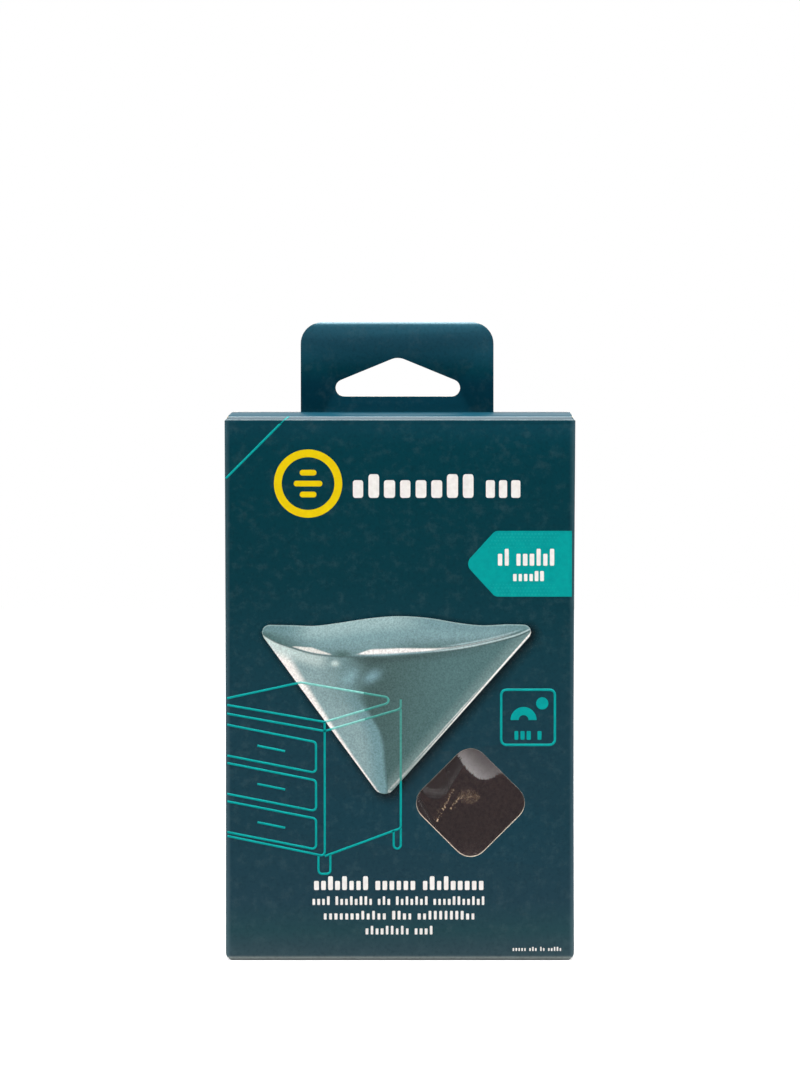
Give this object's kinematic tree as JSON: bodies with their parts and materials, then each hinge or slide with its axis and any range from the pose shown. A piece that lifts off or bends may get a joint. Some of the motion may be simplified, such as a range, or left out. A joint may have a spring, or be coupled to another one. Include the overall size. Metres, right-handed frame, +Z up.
{
  "type": "windowed hang tab carton",
  "caption": "Upright folded card carton with a hang tab, tuck lid and diamond window, holding nested clear soft guards for furniture corners.",
  "frame": {"origin": "middle of the base, on the surface that the carton stands on", "axes": "+Z up towards the hang tab, front panel with the window facing -Y, +X to the right seen from the front"},
  "size_m": [0.088, 0.04, 0.1603],
  "materials": {
    "printed_card": "satin printed board",
    "clear_film": "clear glossy film",
    "clear_vinyl": "clear soft vinyl",
    "adhesive_pad": "clear adhesive under an amber liner"
  },
  "bodies": {
    "carton": {"carton": "printed_card", "window_film": "clear_film", "corner_guard_1": "clear_vinyl", "corner_guard_2": "clear_vinyl", "corner_guard_3": "clear_vinyl", "corner_guard_4": "clear_vinyl", "guard_1_pad_1": "adhesive_pad", "guard_1_pad_2": "adhesive_pad", "guard_1_pad_3": "adhesive_pad", "guard_2_pad_1": "adhesive_pad", "guard_2_pad_2": "adhesive_pad", "guard_2_pad_3": "adhesive_pad", "guard_3_pad_1": "adhesive_pad", "guard_3_pad_2": "adhesive_pad", "guard_3_pad_3": "adhesive_pad", "guard_4_pad_1": "adhesive_pad", "guard_4_pad_2": "adhesive_pad", "guard_4_pad_3": "adhesive_pad"},
    "lid": {"lid": "printed_card"}
  },
  "joints": [
    {"name": "lid_hinge", "type": "hinge", "parent": "carton", "child": "lid", "pos_m": [0, -0.02015, 0.1366], "axis": [1, 0, 0], "range_deg": [0, 180]}
  ]
}
